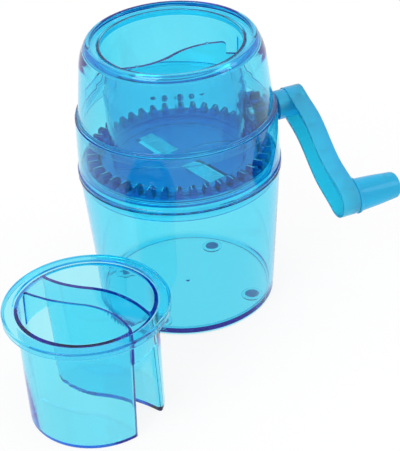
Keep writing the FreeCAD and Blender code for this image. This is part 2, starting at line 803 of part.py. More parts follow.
def build():
    os.makedirs("parts", exist_ok=True)
    housing, boss_start, boss_end = make_housing()
    pinion_end = boss_start - bush_flange_thickness - end_float
    pinion_start = pinion_end - pinion_face_width
    hub_start = boss_end + end_float
    arm, post_end = make_crank_arm(hub_start)
    save("bowl", make_bowl())
    save("bowl_feet", make_feet())
    save("drive_housing", housing)
    save("crank_bush", make_bush(boss_start, boss_end))
    save("crank_shaft", make_shaft(pinion_start))
    save("pinion", make_pinion(pinion_start, pinion_end))
    save("pinion_washer", tube(pinion_washer_radius, pinion_screw_radius,
                               V(pinion_start - pinion_washer_thickness, 0, crank_height),
                               pinion_washer_thickness, ALONG_CRANK))
    save("pinion_screw", slotted_screw(pinion_start - pinion_washer_thickness, 1, crank_height, 0,
                                       pinion_screw_radius,
                                       pinion_screw_length + pinion_washer_thickness,
                                       pinion_screw_head_radius, pinion_screw_head_height))
    save("crank_arm", arm)
    save("crank_screw", slotted_screw(arm_end_x - hub_screw_recess_depth, -1, crank_height, 0,
                                      hub_screw_radius, hub_screw_length,
                                      hub_screw_head_radius,
                                      hub_screw_recess_depth - hub_screw_head_drop))
    save("knob", make_knob(post_end))
    save("knob_washer", make_knob_washer(post_end))
    save("knob_screw", seat_on_crank(slotted_screw(post_end + knob_washer_thickness, -1, 0,
                                                   -arm_length, knob_screw_radius,
                                                   knob_screw_length + knob_washer_thickness,
                                                   knob_screw_head_radius,
                                                   knob_screw_head_height)))
    save("knob_cap", make_knob_cap())
    save("crown_gear", make_crown_gear())
    save("blade_1", make_blade(blade_angle))
    save("blade_2", make_blade(blade_angle + 180))
    save("blade_screws", make_blade_screws())
    save("hopper_shell", make_hopper_shell())
    save("ice_sleeve", make_sleeve())
    save("divider_wall", make_divider())
    save("pusher", make_pusher())


build()
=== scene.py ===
import math

import bmesh
import bpy
from mathutils import Matrix, Vector


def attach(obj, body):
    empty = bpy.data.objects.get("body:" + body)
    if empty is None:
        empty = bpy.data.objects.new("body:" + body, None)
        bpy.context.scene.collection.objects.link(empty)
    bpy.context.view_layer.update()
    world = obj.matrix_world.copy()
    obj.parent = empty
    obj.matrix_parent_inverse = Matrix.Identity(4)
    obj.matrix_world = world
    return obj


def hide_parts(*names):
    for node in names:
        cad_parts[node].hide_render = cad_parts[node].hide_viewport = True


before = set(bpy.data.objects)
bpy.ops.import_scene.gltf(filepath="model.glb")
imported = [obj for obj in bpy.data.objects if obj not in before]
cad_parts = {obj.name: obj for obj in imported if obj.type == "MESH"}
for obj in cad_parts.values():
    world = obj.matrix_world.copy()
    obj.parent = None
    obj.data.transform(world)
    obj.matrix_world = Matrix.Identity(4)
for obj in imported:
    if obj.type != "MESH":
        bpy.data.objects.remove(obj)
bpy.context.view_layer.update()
bpy.ops.object.select_all(action="DESELECT")

# Photographer's camera, level of the eye above a table, turned a little clockwise.
# Its place and lens come from the round rims of the shaver.
camera_place = Vector((-0.2973, -0.7867, 0.5950))
camera_right = Vector((0.91634, -0.39681, -0.05306))
camera_up = Vector((0.25785, 0.48362, 0.83634))
camera_back = Vector((-0.30622, -0.78009, 0.5455))
photo_width_px = 400
focal_px = 1479.8
sensor_mm = 36.0

lens = bpy.data.cameras.new("photo_camera")
lens.sensor_fit = "HORIZONTAL"
lens.sensor_width = sensor_mm
lens.lens = focal_px * sensor_mm / photo_width_px
camera = bpy.data.objects.new("photo_camera", lens)
bpy.context.collection.objects.link(camera)
turn = Matrix((camera_right, camera_up, camera_back)).transposed()
camera.matrix_world = Matrix.Translation(camera_place) @ turn.to_4x4()
bpy.context.scene.camera = camera

# White table and white surroundings of a catalogue picture, lit by one large soft box
# on the left and a weaker one on the right. The table keeps a faint shadow of the object.
table_half = 3.0
table_drop = 0.0002
shadow_share = 0.14


def seen_share(nodes, links):
    """1 where a surface is seen by the camera, in a gloss or through clear plastic, else 0."""
    path = nodes.new("ShaderNodeLightPath")
    seen = nodes.new("ShaderNodeMath")
    seen.operation = "MAXIMUM"
    seen_clear = nodes.new("ShaderNodeMath")
    seen_clear.operation = "MAXIMUM"
    links.new(path.outputs["Is Camera Ray"], seen.inputs[0])
    links.new(path.outputs["Is Glossy Ray"], seen.inputs[1])
    links.new(seen.outputs[0], seen_clear.inputs[0])
    links.new(path.outputs["Is Transmission Ray"], seen_clear.inputs[1])
    return seen_clear.outputs[0]


bpy.ops.mesh.primitive_plane_add(size=2 * table_half, location=(0, 0, -table_drop))
table = bpy.context.object
table.name = "table"
bpy.ops.object.transform_apply(location=True)
white_table = bpy.data.materials.new("white_table")
white_table.use_nodes = True
nodes = white_table.node_tree.nodes
links = white_table.node_tree.links
nodes.clear()
paint = nodes.new("ShaderNodeBsdfDiffuse")
paint.inputs["Color"].default_value = (0.93, 0.935, 0.94, 1)
glow = nodes.new("ShaderNodeEmission")
glow.inputs["Color"].default_value = (1, 1, 1, 1)
glow.inputs["Strength"].default_value = 1.0
share = nodes.new("ShaderNodeMath")
share.operation = "MULTIPLY"
share.inputs[1].default_value = 1 - shadow_share
blend = nodes.new("ShaderNodeMixShader")
out = nodes.new("ShaderNodeOutputMaterial")
links.new(seen_share(nodes, links), share.inputs[0])
links.new(share.outputs[0], blend.inputs["Fac"])
links.new(paint.outputs[0], blend.inputs[1])
links.new(glow.outputs[0], blend.inputs[2])
links.new(blend.outputs[0], out.inputs["Surface"])
table.data.materials.append(white_table)

room_light = 0.92
world = bpy.data.worlds.new("white_room")
world.use_nodes = True
bpy.context.scene.world = world
nodes = world.node_tree.nodes
links = world.node_tree.links
nodes.clear()
room = nodes.new("ShaderNodeBackground")
room.inputs["Color"].default_value = (1, 1, 1, 1)
room.inputs["Strength"].default_value = room_light
backdrop = nodes.new("ShaderNodeBackground")
backdrop.inputs["Color"].default_value = (1, 1, 1, 1)
backdrop.inputs["Strength"].default_value = 1.0
blend = nodes.new("ShaderNodeMixShader")
out = nodes.new("ShaderNodeOutputWorld")
links.new(seen_share(nodes, links), blend.inputs["Fac"])
links.new(room.outputs[0], blend.inputs[1])
links.new(backdrop.outputs[0], blend.inputs[2])
links.new(blend.outputs[0], out.inputs["Surface"])


def soft_box(name, place, aim, size, power):
    """A square soft light that faces a point."""
    box = bpy.data.lights.new(name, "AREA")
    box.size = size
    box.energy = power
    holder = bpy.data.objects.new(name, box)
    holder.location = place
    holder.rotation_euler = (Vector(aim) - Vector(place)).to_track_quat("-Z", "Y").to_euler()
    bpy.context.collection.objects.link(holder)


soft_box("key_soft_box", (-1.6, -0.9, 1.7), (0, 0, 0.1), 1.2, 16)
soft_box("fill_soft_box", (1.5, -1.1, 1.2), (0, 0, 0.1), 1.0, 6)


# Bowl that catches the ice, injection moulded in clear blue plastic about 2.4 mm thick.
# It tapers a little downwards, stands on a ring under its edge, and has a thin rolled rim.
mm = 0.001
spin_steps = 160
corner_segments = 4
soft_angle = math.radians(35)
bowl_section = [
    (0, 1.0, 0), (56.5, 1.0, 0.3), (56.9, 0, 0.3), (58.9, 0, 1.6), (66.12, 97.4, 0.3),
    (67.0, 97.4, 0.5), (67.0, 99.7, 0.6), (63.9, 99.7, 0.5), (56.8, 3.6, 4.0), (0, 3.6, 0),
]
foot_circle = 46.8
foot_radius = 4.6
foot_top = 1.8
socket_radius = 7.0
socket_drop = 0.9
nub_radius = 1.3


def first_point(name, place):
    """A new mesh that is a single point, left in edit mode for drawing on from it."""
    bpy.ops.object.select_all(action="DESELECT")
    bpy.ops.mesh.primitive_plane_add(size=mm, location=(0, 0, 0))
    piece = bpy.context.object
    piece.name = name
    bpy.ops.object.mode_set(mode="EDIT")
    bpy.ops.mesh.select_mode(type="VERT")
    bpy.ops.mesh.select_all(action="SELECT")
    bpy.ops.mesh.merge(type="CENTER")
    bpy.ops.transform.translate(value=place)
    return piece


def draw_line(points, closed):
    """Draws on from the selected point through the others, and back to the first if closed."""
    stops = points + points[:1] if closed else points
    for a, b in zip(stops, stops[1:]):
        bpy.ops.mesh.extrude_vertices_move(TRANSFORM_OT_translate={"value": Vector(b) - Vector(a)})
    bpy.ops.mesh.select_all(action="SELECT")
    bpy.ops.mesh.remove_doubles(threshold=0.001 * mm)


def select_where(piece, wanted):
    """Selects the points of the mesh in edit mode for which the test is true."""
    bpy.ops.mesh.select_mode(type="VERT")
    bpy.ops.mesh.select_all(action="DESELECT")
    mesh = bmesh.from_edit_mesh(piece.data)
    for point in mesh.verts:
        if wanted(point.co):
            point.select_set(True)
    mesh.select_flush_mode()
    bmesh.update_edit_mesh(piece.data)


def select_faces_where(piece, wanted):
    """Selects the faces in edit mode for which a test of their middle and normal is true."""
    bpy.ops.mesh.select_mode(type="FACE")
    bpy.ops.mesh.select_all(action="DESELECT")
    mesh = bmesh.from_edit_mesh(piece.data)
    for face in mesh.faces:
        if wanted(face.calc_center_median(), face.normal):
            face.select_set(True)
    bmesh.update_edit_mesh(piece.data)


def round_corners(piece, corners, segments):
    """Rounds the corners of a drawn line, each a place and how far from it the curve begins."""
    for place, reach in corners:
        if reach:
            select_where(piece, lambda co: (co - place).length < 0.01 * mm)
            bpy.ops.mesh.bevel(offset=reach * mm, offset_type="OFFSET", segments=segments,
                               affect="VERTICES")


def close_shape():
    """Merges what meets, turns the faces outwards, and leaves edit mode with soft shading."""
    bpy.ops.mesh.select_mode(type="VERT")
    bpy.ops.mesh.select_all(action="SELECT")
    bpy.ops.mesh.remove_doubles(threshold=0.002 * mm)
    bpy.ops.mesh.normals_make_consistent(inside=False)
    bpy.ops.object.mode_set(mode="OBJECT")
    bpy.ops.object.shade_smooth_by_angle(angle=soft_angle)


def turned_piece(name, section, base=Vector((0, 0, 0)), axis=Vector((0, 0, 1))):
    """Draws half a section of (radius, height, rounding) and spins it about an axis."""
    side = Vector((1, 0, 0)) if axis.z else Vector((0, 0, 1))
    places = [base + side * r * mm + axis * h * mm for r, h, _ in section]
    piece = first_point(name, places[0])
    on_axis = section[0][0] == 0 and section[-1][0] == 0
    draw_line(places, not on_axis)
    round_corners(piece, [(place, point[2]) for place, point in zip(places, section)],
                  corner_segments)
    bpy.ops.mesh.select_all(action="SELECT")
    bpy.ops.mesh.spin(steps=spin_steps, angle=2 * math.pi, center=base, axis=axis)
    close_shape()
    return piece


def combine(piece, tool, operation):
    """Joins a second shape to the piece, or cuts it away, and removes the second shape."""
    bpy.ops.object.select_all(action="DESELECT")
    piece.select_set(True)
    bpy.context.view_layer.objects.active = piece
    step = piece.modifiers.new(operation.lower(), "BOOLEAN")
    step.operation = operation
    step.solver = "EXACT"
    step.object = tool
    bpy.ops.object.modifier_apply(modifier=step.name)
    bpy.data.objects.remove(tool)
    bpy.ops.object.shade_smooth_by_angle(angle=soft_angle)


def round_bar(name, radius, start, end, edge=0.0, steps=48):
    """A round bar between two places in millimetres, with its end edges rounded."""
    start, end = Vector(start) * mm, Vector(end) * mm
    along = end - start
    bpy.ops.object.select_all(action="DESELECT")
    bpy.ops.mesh.primitive_cylinder_add(vertices=steps, radius=radius * mm, depth=along.length,
                                        location=(start + end) / 2,
                                        rotation=along.to_track_quat("Z", "Y").to_euler())
    bar = bpy.context.object
    bar.name = name
    bpy.ops.object.transform_apply(location=True, rotation=True, scale=True)
    bpy.ops.object.mode_set(mode="EDIT")
    if edge:
        select_faces_where(bar, lambda middle, normal: abs(normal.dot(along.normalized())) > 0.9)
        bpy.ops.mesh.region_to_loop()
        bpy.ops.mesh.bevel(offset=edge * mm, segments=3)
    close_shape()
    return bar


def moulded_surface():
    """Shared effect: slow waves of a moulded wall and fine rub marks, as height and roughness."""
    group = bpy.data.node_groups.new("moulded_surface", "ShaderNodeTree")
    for label, kind, way in (("Wave Size", "NodeSocketFloat", "INPUT"),
                             ("Smoothest", "NodeSocketFloat", "INPUT"),
                             ("Roughest", "NodeSocketFloat", "INPUT"),
                             ("Roughness", "NodeSocketFloat", "OUTPUT"),
                             ("Height", "NodeSocketFloat", "OUTPUT")):
        group.interface.new_socket(name=label, in_out=way, socket_type=kind)
    nodes, links = group.nodes, group.links
    given = nodes.new("NodeGroupInput")
    result = nodes.new("NodeGroupOutput")
    place = nodes.new("ShaderNodeTexCoord")
    waves = nodes.new("ShaderNodeTexNoise")
    waves.inputs["Detail"].default_value = 2.0
    rubs = nodes.new("ShaderNodeTexNoise")
    rubs.inputs["Scale"].default_value = 260.0
    rubs.inputs["Detail"].default_value = 5.0
    spread = nodes.new("ShaderNodeMapRange")
    spread.inputs["From Min"].default_value = 0.35
    spread.inputs["From Max"].default_value = 0.75
    links.new(place.outputs["Object"], waves.inputs["Vector"])
    links.new(given.outputs["Wave Size"], waves.inputs["Scale"])
    links.new(place.outputs["Object"], rubs.inputs["Vector"])
    links.new(rubs.outputs["Fac"], spread.inputs["Value"])
    links.new(given.outputs["Smoothest"], spread.inputs["To Min"])
    links.new(given.outputs["Roughest"], spread.inputs["To Max"])
    links.new(spread.outputs["Result"], result.inputs["Roughness"])
    links.new(waves.outputs["Fac"], result.inputs["Height"])
    return group


surface_effect = moulded_surface()


def plastic(name, colour, clearness, tint, tint_density, smoothest, roughest, wave_depth):
    """Moulded plastic: a glossy skin, and for clear grades a tint that deepens with thickness."""
    finish = bpy.data.materials.new(name)
    finish.use_nodes = True
    nodes, links = finish.node_tree.nodes, finish.node_tree.links
    skin = nodes["Principled BSDF"]
    skin.inputs["Base Color"].default_value = (*colour, 1)
    skin.inputs["IOR"].default_value = 1.46
    skin.inputs["Specular IOR Level"].default_value = 0.14
    skin.inputs["Transmission Weight"].default_value = clearness
    effect = nodes.new("ShaderNodeGroup")
    effect.node_tree = surface_effect
    effect.inputs["Wave Size"].default_value = 38.0
    effect.inputs["Smoothest"].default_value = smoothest
    effect.inputs["Roughest"].default_value = roughest
    relief = nodes.new("ShaderNodeBump")
    relief.inputs["Strength"].default_value = 0.5
    relief.inputs["Distance"].default_value = wave_depth
    links.new(effect.outputs["Roughness"], skin.inputs["Roughness"])
    links.new(effect.outputs["Height"], relief.inputs["Height"])
    links.new(relief.outputs["Normal"], skin.inputs["Normal"])
    if tint_density:
        depth = nodes.new("ShaderNodeVolumeAbsorption")
        depth.inputs["Color"].default_value = (*tint, 1)
        depth.inputs["Density"].default_value = tint_density
        links.new(depth.outputs[0], nodes["Material Output"].inputs["Volume"])
    return finish


def dress(piece, finish, slot, body, *nodes):
    """Gives a piece its finish, the body that it moves with and the solids that it stands for."""
    bpy.ops.object.select_all(action="DESELECT")
    piece.select_set(True)
    bpy.context.view_layer.objects.active = piece
    shading = piece.modifiers.new("flat_walls_stay_flat", "WEIGHTED_NORMAL")
    shading.keep_sharp = True
    shading.weight = 100
    bpy.ops.object.modifier_apply(modifier=shading.name)
    piece.data.materials.clear()
    piece.data.materials.append(finish)
    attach(piece, body)
    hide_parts(*nodes)


clear_blue = plastic("clear_blue_plastic", (1, 1, 1), 1.0, (0.0, 0.872, 0.972), 400.0,
                     0.0, 0.03, 0.01 * mm)

bowl = turned_piece("bowl_shell", bowl_section)
foot_places = [(foot_circle * math.cos(math.radians(a)), foot_circle * math.sin(math.radians(a)))
               for a in (45, 135, 225, 315)]
for x, y in foot_places:
    socket = round_bar("socket", socket_radius, (x, y, 1 - socket_drop), (x, y, 2), 0.2)
    combine(bowl, socket, "UNION")
    recess = round_bar("recess", foot_radius + 0.05, (x, y, -1), (x, y, foot_top))
    combine(bowl, recess, "DIFFERENCE")
combine(bowl, round_bar("gate_nub", nub_radius, (0, 0, 3), (0, 0, 4.6), 0.5), "UNION")
dress(bowl, clear_blue, "clear_blue", "stand", "bowl")


# Four soft pads under the bowl, cut from soft blue rubber and pressed into the sockets.
pad_rubber = plastic("soft_blue_rubber", (0.0, 0.4, 0.75), 0.92, (0.0, 0.55, 0.86), 1500.0,
                     0.4, 0.6, 0.03 * mm)
pads = None
for x, y in foot_places:
    pad = round_bar("pad", foot_radius, (x, y, 0), (x, y, foot_top - 0.05), 0.4)
    if pads is None:
        pads = pad
        pads.name = "soft_pads"
    else:
        combine(pads, pad, "UNION")
dress(pads, pad_rubber, "soft_feet", "stand", "bowl_feet")


# Drive housing, the clear ring between bowl and hopper. Its skirt nests in the bowl, its lip
# rests on the rim, a shelf inside carries the cutter, and a boss in the wall carries the crank.
crank_z = 122.0
boss_radius = 8.6
bush_radius = 5.65
boss_start, boss_end = 62.4, 69.4
housing_section = [
    (60.9, 92.8, 0.4), (62.9, 92.8, 0.5), (62.9, 99.85, 0.2), (67.0, 99.85, 0.5),
    (67.0, 102.2, 0.5), (66.35, 102.8, 0.3), (65.4, 138.6, 0.6), (63.2, 138.6, 0.5),
    (64.5, 105.0, 0.6), (62.1, 105.0, 0.2), (62.1, 107.2, 0.3), (60.7, 107.2, 0.3),
    (60.7, 105.0, 0), (54.7, 105.0, 0.4), (54.7, 102.8, 0.4), (60.9, 102.8, 0.8),
]
housing = turned_piece("housing_shell", housing_section)
boss = round_bar("boss", boss_radius, (boss_start, 0, crank_z), (boss_end, 0, crank_z), 0.5)
combine(housing, boss, "UNION")
boss_bore = round_bar("boss_bore", bush_radius, (60, 0, crank_z), (72, 0, crank_z))
combine(housing, boss_bore, "DIFFERENCE")
dress(housing, clear_blue, "clear_blue", "drive", "drive_housing")


# Cutter plate with the crown of teeth round it, one clear moulding. One tooth and its share of
# the plate are modelled, and copied round. Two slots let the ice through under the blades.
tooth_count = 40
tooth_steps = 5
tooth_rise = 5.79
tooth_tip_share = 0.58
plate_section = [
    (0, 101.2, 0), (51.1, 101.2, 0.3), (53.3, 105.2, 0.3), (60.3, 105.2, 0.3), (60.3, 107.46, 0),
    (53.3, 107.46, 0), (51.1, 107.46, 0.3), (51.1, 103.6, 0.6), (0, 103.6, 0),
]
blade_turn = math.radians(-75.6)
screws_along = (15.5, 32.5)
screws_across = 2.75
screw_hole_radius = 1.55
cutter = first_point("cutter_plate", Vector((0, 0, plate_section[0][1] * mm)))
plate_points = [Vector((r, 0, z)) * mm for r, z, _ in plate_section]
draw_line(plate_points, False)
round_corners(cutter, [(place, point[2]) for place, point in zip(plate_points, plate_section)], 2)
bpy.ops.mesh.select_all(action="SELECT")
tooth_angle = 2 * math.pi / tooth_count
bpy.ops.mesh.spin(steps=tooth_steps, angle=tooth_angle, center=(0, 0, 0), axis=(0, 0, 1))
bpy.ops.mesh.select_all(action="SELECT")
bpy.ops.mesh.remove_doubles(threshold=0.002 * mm)
bpy.ops.mesh.normals_make_consistent(inside=False)
plate_mesh = bmesh.from_edit_mesh(cutter.data)
sides = [math.atan2(v.co.y, v.co.x) for v in plate_mesh.verts if v.co.xy.length > 50 * mm]
tooth_middle = (min(sides) + max(sides)) / 2


def under_tooth(middle, normal):
    """The top faces between the crown's inner and outer edge, all but the outermost two."""
    angle = math.atan2(middle.y, middle.x) - tooth_middle
    return (middle.z > 107.4 * mm and middle.xy.length > 54 * mm
            and abs(angle) < tooth_angle * (tooth_steps - 2) / tooth_steps / 2)


select_faces_where(cutter, under_tooth)
bpy.ops.mesh.extrude_region_move(TRANSFORM_OT_translate={"value": (0, 0, tooth_rise * mm)})
across = Matrix.Rotation(tooth_middle, 3, "Z")
crown = bmesh.from_edit_mesh(cutter.data)
for point in [v for v in crown.verts if v.select]:
    flat = across.inverted() @ point.co
    flat.y *= tooth_tip_share
    point.co = across @ flat
bmesh.update_edit_mesh(cutter.data)
bpy.ops.mesh.bevel(offset=0.8 * mm, segments=3)
bpy.ops.mesh.select_all(action="SELECT")
bpy.ops.mesh.spin(steps=tooth_count, angle=2 * math.pi, center=(0, 0, 0), axis=(0, 0, 1),
                  dupli=True)
close_shape()


def flat_box(name, low, high, turn):
    """A box between two corners in millimetres, turned about the upright axis."""
    low, high = Vector(low) * mm, Vector(high) * mm
    bpy.ops.object.select_all(action="DESELECT")
    bpy.ops.mesh.primitive_cube_add(size=1, location=(low + high) / 2)
    block = bpy.context.object
    block.name = name
    block.scale = high - low
    bpy.ops.object.transform_apply(location=True, rotation=True, scale=True)
    block.rotation_euler.z = turn
    bpy.ops.object.transform_apply(location=True, rotation=True, scale=True)
    return block


for angle in (blade_turn, blade_turn + math.pi):
    ice_slot = flat_box("ice_slot", (9, 2.3, 99), (39, 8.7, 106), angle)
    combine(cutter, ice_slot, "DIFFERENCE")
    blade_seat = flat_box("blade_seat", (8.95, -5.55, 102.65), (39.05, 5.55, 106), angle)
    combine(cutter, blade_seat, "DIFFERENCE")
    for along in screws_along:
        x = along * math.cos(angle) + screws_across * math.sin(angle)
        y = along * math.sin(angle) - screws_across * math.cos(angle)
        screw_hole = round_bar("screw_hole", screw_hole_radius, (x, y, 100), (x, y, 104), 0, 24)
        combine(cutter, screw_hole, "DIFFERENCE")
gear_blue = plastic("gear_blue_plastic", (0.0, 0.42, 0.85), 0.86, (0.0, 0.87, 0.975), 700.0,
                    0.14, 0.22, 0.01 * mm)
dress(cutter, gear_blue, "clear_blue", "cutter", "crown_gear")


# Hopper shell, the clear dome. Its skirt nests in the housing with a bead resting on the edge,
# the shoulder rolls in to a thick rim, and a ledge below the rim holds the sleeve.
hopper_section = [
    (61.45, 131.6, 0.4), (62.85, 131.6, 0.4), (62.85, 138.7, 0), (64.8, 138.7, 0.5),
    (64.8, 140.8, 0.7), (63.2, 140.9, 0.8), (58.9, 180.5, 5.0), (54.9, 188.6, 1.4),
    (53.4, 190.0, 0.9), (51.2, 190.0, 0.8), (51.2, 186.9, 0.4), (47.5, 186.9, 0.3),
    (47.5, 184.95, 0.3), (55.1, 184.95, 1.0), (56.7, 178.5, 1.5), (61.0, 140.8, 0.6),
    (61.45, 138.6, 0),
]
hopper = turned_piece("hopper_dome", hopper_section)
dress(hopper, clear_blue, "clear_blue", "hopper", "hopper_shell")


# Ice chamber sleeve inside the dome, a tapered tube with a flange under the ledge and a gusset
# on each side that steadies it against the dome.
sleeve_section = [
    (42.0, 104.8, 0.4), (44.0, 104.8, 0.4), (47.0, 182.9, 0.5), (52.2, 182.9, 0.4),
    (52.2, 184.85, 0.4), (47.1, 184.85, 0.2), (47.2, 187.2, 0.7), (45.2, 187.2, 0.6),
]
gusset_line = [(44.9, 180.5), (57.6, 167.5), (59.3, 152.9), (44.9, 168.9)]
gusset_wall = 2.0
sleeve = turned_piece("ice_sleeve_tube", sleeve_section)
for side in (1, -1):
    corners = [Vector((side * x, -gusset_wall / 2, z)) * mm for x, z in gusset_line]
    gusset = first_point("gusset", corners[0])
    draw_line(corners, True)
    bpy.ops.mesh.edge_face_add()
    bpy.ops.mesh.extrude_region_move(
        TRANSFORM_OT_translate={"value": (0, gusset_wall * mm, 0)})
    close_shape()
    combine(sleeve, gusset, "UNION")
dress(sleeve, clear_blue, "clear_blue", "hopper", "ice_sleeve")


# S-shaped divider moulded across the sleeve, so that the ice can't turn with the blades.
# Its top edge steps down near the sleeve and has two pips that the pusher comes to rest on.
bend_radius = 42.0
divider_turn = 27.3
divider_levels = (104.9, 169.0, 177.0)
divider_wall = 2.4
divider_step_reach = 37.4
divider_low_reach, divider_high_reach = 41.9, 44.35
divider_corner = 2.4
divider_steps = 14
pip_radius = 0.9
pip_reach = 26.1


def s_line(reach, steps):
    """Points of an S through the centre: two tangent arcs, out to a reach on either side."""
    points = []
    for side in (-1, 1):
        centre = Vector((0, -side * bend_radius, 0))
        sweep = math.acos((2 * bend_radius ** 2 - reach ** 2) / (2 * bend_radius ** 2))
        half = []
        for i in range(steps + 1):
            a = sweep * i / steps
            half.append(centre + side * bend_radius * Vector((math.sin(a), math.cos(a), 0)))
        points += reversed(half[1:]) if side < 0 else half
    return [Matrix.Rotation(math.radians(divider_turn), 3, "Z") @ p for p in points]


def soften_edges(piece, width):
    """Rounds every edge of the piece that is sharper than 50 degrees."""
    edges = piece.modifiers.new("edges", "BEVEL")
    edges.width = width * mm
    edges.segments = 3
    edges.limit_method = "ANGLE"
    edges.angle_limit = math.radians(50)
    bpy.ops.object.modifier_apply(modifier=edges.name)


inner = s_line(divider_step_reach, divider_steps)
whole = s_line(divider_low_reach, divider_steps + 4)
ends = s_line(divider_high_reach, divider_steps)
low, step_z, high = divider_levels
line = [whole[0]] + inner + [whole[-1]]
divider = first_point("s_divider", (line[0] + Vector((0, 0, low))) * mm)
draw_line([(p + Vector((0, 0, low))) * mm for p in line], False)
bpy.ops.mesh.extrude_region_move(TRANSFORM_OT_translate={"value": (0, 0, (step_z - low) * mm)})
sheet = bmesh.from_edit_mesh(divider.data)
for point in sheet.verts:
    for end, place in ((ends[0], line[0]), (ends[-1], line[-1])):
        if point.select and (point.co.xy - place.xy * mm).length < 0.01 * mm:
            point.co.xy = end.xy * mm
bmesh.update_edit_mesh(divider.data)
select_where(divider, lambda co: co.z > (step_z - 0.1) * mm
             and co.xy.length < (divider_step_reach + 0.1) * mm)
bpy.ops.mesh.extrude_region_move(TRANSFORM_OT_translate={"value": (0, 0, (high - step_z) * mm)})
select_where(divider, lambda co: co.z > (high - 0.1) * mm
             and co.xy.length > (divider_step_reach - 0.1) * mm)
bpy.ops.mesh.bevel(offset=divider_corner * mm, offset_type="OFFSET", segments=4,
                   affect="VERTICES")
close_shape()
wall = divider.modifiers.new("wall", "SOLIDIFY")
wall.thickness = divider_wall * mm
wall.offset = 0
wall.use_even_offset = True
bpy.ops.object.modifier_apply(modifier=wall.name)
soften_edges(divider, 0.5)
pip_line = s_line(pip_reach, 1)
pip_z = high - 0.1
for place in (pip_line[0], pip_line[-1]):
    pip = round_bar("pip", pip_radius, (place.x - 0.8, place.y, pip_z),
                    (place.x + 0.8, place.y, pip_z), 0.3, 24)
    combine(divider, pip, "UNION")
bpy.ops.object.shade_smooth_by_angle(angle=soft_angle)
dress(divider, clear_blue, "clear_blue", "hopper", "divider_wall")


# Pusher, taken off and standing in front, one clear moulding. Two deep pockets go down on either
# side of the divider, an arched S band joins them over the channel between, and a flange with
# a rolled edge spreads the push.
pusher_place = (-101.2, -93.2)
pusher_turn = -35.7
pusher_wall = 1.8
pusher_floor = 2.0
pusher_top = 79.0
above_pusher = 86
foot_reach = 42.0
mouth_reach = 42.9
foot_channel = (9.2, 43.0, 85.0)
band_channel = (7.2, 48.8, 63.2)
window_top = 55.5
outer_round = 4.0
inner_round = 2.4
wall_steps = 14
round_steps = 44
corner_steps = 4
pusher_section = [
    (0, 0, 0), (foot_reach, 0, 1.2), (mouth_reach, 76.6, 0.8), (49.2, 76.6, 0.5),
    (49.2, 74.0, 0.4), (51.0, 74.0, 0.5), (51.0, pusher_top, 1.2), (44.6, pusher_top, 0.5),
    (43.4, 78.1, 0.4), (40.0, 79.0, 2.0), (30.0, 81.4, 3.0), (15.0, 83.4, 4.0), (0, 84.2, 0),
]
channel_section = [
    (0, -5, 0), (70, -5, 0), (70, window_top, 0), (mouth_reach - pusher_wall, window_top, 0),
    (mouth_reach - pusher_wall, 76.4, 0), (40.0, 77.2, 2.0), (30.0, 79.6, 3.0), (15.0, 81.6, 4.0),
    (0, 82.4, 0),
]


def wall_line(half, bend_in, bend_out, reach):
    """One side of the S channel, from the outer wall on its left to the one on its right."""
    points = []
    for bend, side in ((bend_in, -1), (bend_out, 1)):
        centre = half - side * bend
        across = (reach ** 2 - bend ** 2 + centre ** 2) / (2 * centre)
        sweep = math.asin(math.sqrt(reach ** 2 - across ** 2) / bend)
        stretch = []
        for i in range(wall_steps + 1):
            a = sweep * i / wall_steps
            stretch.append(Vector((0, centre, 0))
                           + side * bend * Vector((math.sin(a), math.cos(a), 0)))
        points += reversed(stretch[1:]) if side < 0 else stretch
    return points


def round_corner(start, corner, end):
    """The points of a curve that rounds a corner."""
    shares = [i / corner_steps for i in range(1, corner_steps)]
    return [start * (1 - t) ** 2 + corner * 2 * t * (1 - t) + end * t ** 2 for t in shares]


def pocket_line(channel, inset, reach, z):
    """A pocket seen from above: the S on one side, then round the outside back to its start."""
    half, bend_in, bend_out = channel
    channel_side = (half + inset, bend_in - inset, bend_out + inset)
    line = wall_line(*channel_side, reach - inner_round)
    ends = wall_line(*channel_side, reach)
    first = math.atan2(ends[-1].y, ends[-1].x) + inner_round / reach
    last = math.atan2(ends[0].y, ends[0].x) - inner_round / reach
    ring = []
    for i in range(round_steps + 1):
        a = first + (last - first) * i / round_steps
        ring.append(Vector((reach * math.cos(a), reach * math.sin(a), 0)))
    line += round_corner(line[-1], ends[-1], ring[0]) + ring
    line += round_corner(ring[-1], ends[0], line[0])
    return [(p + Vector((0, 0, z))) * mm for p in line]


def strip_line(channel, reach, far, z):
    """The channel seen from above, its ends rounded out: one side, then the same turned round."""
    line = wall_line(*channel, reach - outer_round)
    ends = wall_line(*channel, reach)
    first = math.atan2(ends[0].y, ends[0].x) - outer_round / reach
    last = math.atan2(ends[-1].y, ends[-1].x) + outer_round / reach
    left = Vector((math.cos(first), math.sin(first), 0))
    right = Vector((math.cos(last), math.sin(last), 0))
    line = ([left * far, left * reach] + round_corner(left * reach, ends[0], line[0]) + line
            + round_corner(line[-1], ends[-1], right * reach) + [right * reach, right * far])
    line += [Vector((-p.x, -p.y, 0)) for p in line]
    return [(p + Vector((0, 0, z))) * mm for p in line]


def tapered_block(name, low_line, high_line):
    """A solid between a low outline and a high one that has as many points."""
    block = first_point(name, low_line[0])
    draw_line(low_line, True)
    bpy.ops.mesh.edge_face_add()
    bpy.ops.mesh.extrude_region_move(TRANSFORM_OT_translate={"value": (0, 0, mm)})
    sheet = bmesh.from_edit_mesh(block.data)
    for point in [v for v in sheet.verts if v.select]:
        match = min(range(len(low_line)), key=lambda i: (low_line[i].xy - point.co.xy).length)
        point.co = high_line[match]
    bmesh.update_edit_mesh(block.data)
    close_shape()
    return block


